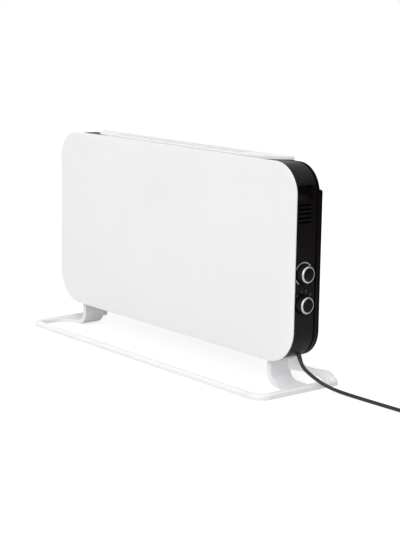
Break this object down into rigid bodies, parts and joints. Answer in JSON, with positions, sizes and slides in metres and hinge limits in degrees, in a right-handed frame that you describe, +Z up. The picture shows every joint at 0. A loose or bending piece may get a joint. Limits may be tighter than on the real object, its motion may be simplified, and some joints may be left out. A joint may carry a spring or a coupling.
{
  "type": "convector heater",
  "caption": "Freestanding convector heater with a flat round-cornered front panel, dark end caps with grip recesses, side control knobs, and splayed feet joined by a front floor rail.",
  "frame": {"origin": "on the floor, under the middle of the heater's bounding box without its cord", "axes": "+X along the panel towards the end with the knobs, +Y from the front panel to the rear, +Z up"},
  "size_m": [1.215, 0.2578, 0.436],
  "materials": {
    "panel_white": "satin powder coat",
    "cap_black": "fine grain, low sheen",
    "rear_black": "satin powder coat",
    "stand_white": "smooth, satin",
    "knob_black": "fine grain, low sheen",
    "ring_silver": "satin metallised",
    "sheet_steel": "galvanised",
    "shield_bright": "bright",
    "element_aluminium": "as drawn",
    "bush_ceramic": "glazed ceramic",
    "switch_plastic": "moulded",
    "terminal_plastic": "moulded",
    "lead_sleeve": "glass-braided sleeve",
    "cord_black": "matt",
    "screw_steel": "zinc plated",
    "pin_nickel": "nickel plated",
    "pad_rubber": "matt"
  },
  "bodies": {
    "casing": {"front_panel": "panel_white", "panel_brackets": "sheet_steel", "top_cover": "panel_white", "rear_cover": "rear_black", "rear_screws": "screw_steel", "right_end_cap": "cap_black", "left_end_cap": "cap_black", "base_pan": "sheet_steel", "heat_shield": "shield_bright", "lower_element": "element_aluminium", "upper_element": "element_aluminium", "element_bracket_right": "sheet_steel", "element_bracket_left": "sheet_steel", "element_bushes": "bush_ceramic", "overheat_cutout": "switch_plastic", "cutout_clip": "sheet_steel", "control_plate": "sheet_steel", "plate_screws": "screw_steel", "terminal_block": "terminal_plastic", "internal_leads": "lead_sleeve", "right_foot": "stand_white", "left_foot": "stand_white", "front_rail": "stand_white", "foot_screws": "screw_steel", "foot_pads": "pad_rubber", "cord_gland": "cord_black", "inner_cord": "cord_black", "power_cord": "cord_black", "cord_coil": "cord_black", "coil_tie": "cord_black", "cord_tail": "cord_black", "plug_body": "cord_black", "plug_pins": "pin_nickel", "thermostat_switch": "switch_plastic", "selector_switch": "switch_plastic"},
    "thermostat_dial": {"thermostat_knob": "knob_black", "thermostat_ring": "ring_silver", "thermostat_disc": "knob_black", "thermostat_spindle": "screw_steel"},
    "selector_dial": {"selector_knob": "knob_black", "selector_ring": "ring_silver", "selector_disc": "knob_black", "selector_spindle": "screw_steel"}
  },
  "joints": [
    {"name": "thermostat_turn", "type": "hinge", "parent": "casing", "child": "thermostat_dial", "pos_m": [0.394, 0.0035, 0.228], "axis": [-1, 0, 0], "range_deg": [0, 270]},
    {"name": "selector_turn", "type": "hinge", "parent": "casing", "child": "selector_dial", "pos_m": [0.394, 0.0035, 0.17], "axis": [-1, 0, 0], "range_deg": [0, 90]}
  ]
}
